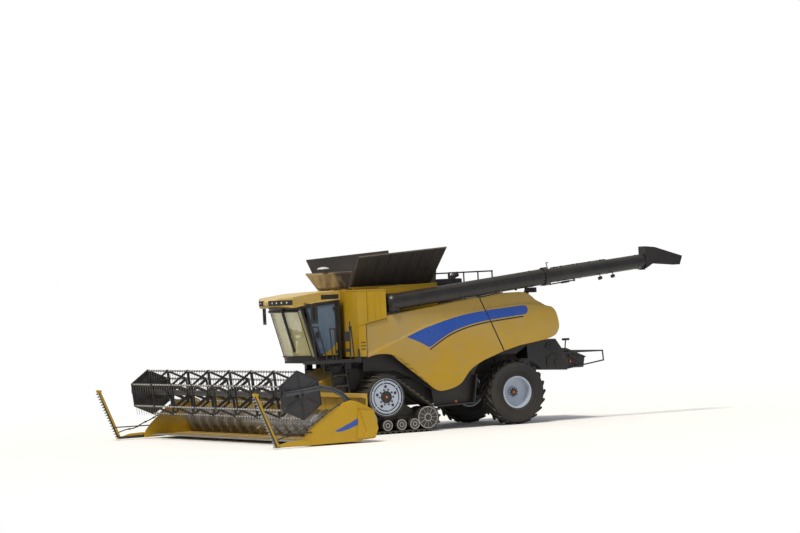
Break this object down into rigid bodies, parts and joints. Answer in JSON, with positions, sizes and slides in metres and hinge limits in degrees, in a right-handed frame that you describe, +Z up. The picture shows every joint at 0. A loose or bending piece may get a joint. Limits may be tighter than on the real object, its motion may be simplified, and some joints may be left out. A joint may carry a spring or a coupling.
{
  "type": "combine harvester",
  "caption": "Track-driven combine harvester with a wide grain header and reel, steered rear wheels, folding tank covers, a swinging unloading auger and opening side panels.",
  "frame": {"origin": "centre of the bounding box at ground level", "axes": "+X forward, +Y to the machine's left, +Z up; the front drive axle is 1.83 m ahead of the origin"},
  "size_m": [13.44, 9.5, 4.4831],
  "materials": {
    "yellow_paint": "glossy yellow paint with dust",
    "black_paint": "satin black paint",
    "grey_frame": "dusty dark frame paint",
    "track_rubber": "dusty belt rubber",
    "tyre_rubber": "dusty tyre rubber",
    "rim_paint": "pale blue-grey wheel paint",
    "bare_steel": "worn bare steel",
    "galvanised": "galvanised sheet and tube",
    "clear_glass": "tinted cab glass",
    "cover_cloth": "dark ribbed cover",
    "flap_cloth": "tan flap cloth",
    "seat_cloth": "dark seat cloth",
    "black_plastic": "moulded black plastic",
    "lamp_lens": "clear lamp lens"
  },
  "bodies": {
    "root": {"chassis_frame": "grey_frame", "threshing_body": "grey_frame", "front_body": "yellow_paint", "tank_bin": "yellow_paint", "engine": "grey_frame", "engine_deck": "black_paint", "tail_hood": "yellow_paint", "skirt_plates": "black_plastic", "front_axle": "grey_frame", "drive_wheels": "rim_paint", "track_belts": "track_rubber", "track_frames": "yellow_paint", "track_rollers": "black_paint", "rear_axle": "grey_frame", "chopper": "black_paint", "hitch": "grey_frame", "cab_shell": "black_paint", "cab_roof": "yellow_paint", "cab_glass": "clear_glass", "cab_seat": "seat_cloth", "steering_column": "black_plastic", "platform": "black_paint", "handrails": "black_paint", "mirrors": "black_plastic", "work_lamps": "lamp_lens", "auger_turret": "black_paint"},
    "ladder": {"ladder": "black_paint"},
    "door": {"cab_door": "black_paint", "door_glass": "clear_glass"},
    "panel_front_left": {"panel_front_left": "yellow_paint"},
    "panel_rear_left": {"panel_rear_left": "yellow_paint"},
    "panel_front_right": {"panel_front_right": "yellow_paint"},
    "panel_rear_right": {"panel_rear_right": "yellow_paint"},
    "cover_left": {"cover_left": "cover_cloth"},
    "cover_right": {"cover_right": "cover_cloth"},
    "screen_front": {"screen_front": "flap_cloth"},
    "screen_rear": {"screen_rear": "cover_cloth"},
    "auger_inner": {"auger_inner": "black_paint"},
    "auger_outer": {"auger_outer": "black_paint"},
    "auger_spout": {"auger_spout": "black_plastic"},
    "knuckle_left": {"knuckle_left": "grey_frame"},
    "knuckle_right": {"knuckle_right": "grey_frame"},
    "wheel_left": {"tyre_left": "tyre_rubber", "rim_left": "rim_paint"},
    "wheel_right": {"tyre_right": "tyre_rubber", "rim_right": "rim_paint"},
    "header": {"feeder_house": "yellow_paint", "header_frame": "yellow_paint", "header_ends": "yellow_paint", "side_knives": "black_paint", "cutter_bar": "bare_steel"},
    "intake_auger": {"intake_auger": "bare_steel"},
    "reel_arms": {"reel_arms": "black_paint"},
    "reel": {"reel": "galvanised"},
    "lift_barrels": {"lift_barrels": "black_paint"},
    "lift_rods": {"lift_rods": "bare_steel"}
  },
  "joints": [
    {"name": "feeder_lift", "type": "hinge", "parent": "root", "child": "header", "pos_m": [2.53, 0, 1.5], "axis": [0, -1, 0], "range_deg": [0, 18]},
    {"name": "lift_swing", "type": "hinge", "parent": "root", "child": "lift_barrels", "pos_m": [2.13, 0, 0.62], "axis": [0, -1, 0], "range_deg": [0, 13.77]},
    {"name": "lift_stroke", "type": "slide", "parent": "lift_barrels", "child": "lift_rods", "axis": [0.9868, 0, -0.162], "range_m": [0, 0.2827]},
    {"name": "intake_spin", "type": "hinge", "parent": "header", "child": "intake_auger", "pos_m": [4.21, 0, 0.452], "axis": [0, 1, 0], "continuous": true},
    {"name": "reel_lift", "type": "hinge", "parent": "header", "child": "reel_arms", "pos_m": [4.21, 0, 0.91], "axis": [0, -1, 0], "range_deg": [0, 22]},
    {"name": "reel_spin", "type": "hinge", "parent": "reel_arms", "child": "reel", "pos_m": [5.4, 0, 1.18], "axis": [0, 1, 0], "continuous": true},
    {"name": "door_swing", "type": "hinge", "parent": "root", "child": "door", "pos_m": [2.67, 0.95, 2.5], "axis": [0, 0, 1], "range_deg": [0, 75]},
    {"name": "ladder_swing", "type": "hinge", "parent": "root", "child": "ladder", "pos_m": [3.21, 1.24, 1.6], "axis": [0, 0, -1], "range_deg": [0, 90]},
    {"name": "panel_front_left_lift", "type": "hinge", "parent": "root", "child": "panel_front_left", "pos_m": [1.63, 1.58, 2.862], "axis": [0.9917, 0, -0.1288], "range_deg": [0, 55]},
    {"name": "panel_rear_left_lift", "type": "hinge", "parent": "root", "child": "panel_rear_left", "pos_m": [1.63, 1.58, 2.862], "axis": [0.9917, 0, -0.1288], "range_deg": [0, 55]},
    {"name": "cover_left_fold", "type": "hinge", "parent": "root", "child": "cover_left", "pos_m": [1.13, 0.9, 3.61], "axis": [1, 0, 0], "range_deg": [0, 125]},
    {"name": "panel_front_right_lift", "type": "hinge", "parent": "root", "child": "panel_front_right", "pos_m": [1.63, -1.58, 2.862], "axis": [-0.9917, 0, 0.1288], "range_deg": [0, 55]},
    {"name": "panel_rear_right_lift", "type": "hinge", "parent": "root", "child": "panel_rear_right", "pos_m": [1.63, -1.58, 2.862], "axis": [-0.9917, 0, 0.1288], "range_deg": [0, 55]},
    {"name": "cover_right_fold", "type": "hinge", "parent": "root", "child": "cover_right", "pos_m": [1.13, -0.9, 3.61], "axis": [-1, 0, 0], "range_deg": [0, 116]},
    {"name": "screen_front_fold", "type": "hinge", "parent": "root", "child": "screen_front", "pos_m": [2.295, 0, 3.565], "axis": [0, 1, 0], "range_deg": [0, 60]},
    {"name": "screen_rear_fold", "type": "hinge", "parent": "root", "child": "screen_rear", "pos_m": [-0.13, 0, 3.565], "axis": [0, 1, 0], "range_deg": [0, 96]},
    {"name": "auger_swing", "type": "hinge", "parent": "root", "child": "auger_inner", "pos_m": [1.41, 1.48, 3.19], "axis": [0, 0, -1], "range_deg": [0, 100]},
    {"name": "auger_fold", "type": "hinge", "parent": "auger_inner", "child": "auger_outer", "pos_m": [-2.77, 1.4025, 3.6298], "axis": [0.1046, 0, 0.9945], "range_deg": [0, 90]},
    {"name": "spout_tilt", "type": "hinge", "parent": "auger_outer", "child": "auger_spout", "pos_m": [-5.63, 1.6625, 3.6962], "axis": [0, -1, 0], "range_deg": [0, 35]},
    {"name": "steer_left", "type": "hinge", "parent": "root", "child": "knuckle_left", "pos_m": [-1.94, 0.79, 0.8], "axis": [0, 0, 1], "range_deg": [-30, 30]},
    {"name": "steer_right", "type": "hinge", "parent": "root", "child": "knuckle_right", "pos_m": [-1.94, -0.79, 0.8], "axis": [0, 0, 1], "range_deg": [-30, 30]},
    {"name": "wheel_left_spin", "type": "hinge", "parent": "knuckle_left", "child": "wheel_left", "pos_m": [-1.94, 1.25, 0.8], "axis": [0, 1, 0], "continuous": true},
    {"name": "wheel_right_spin", "type": "hinge", "parent": "knuckle_right", "child": "wheel_right", "pos_m": [-1.94, -1.25, 0.8], "axis": [0, 1, 0], "continuous": true}
  ],
  "couplings": [
    {"joint": "lift_swing", "follows": "feeder_lift", "ratio": 0.75969},
    {"joint": "lift_stroke", "follows": "feeder_lift", "m_per_rad": 0.89348},
    {"joint": "steer_right", "follows": "steer_left", "ratio": 1}
  ]
}
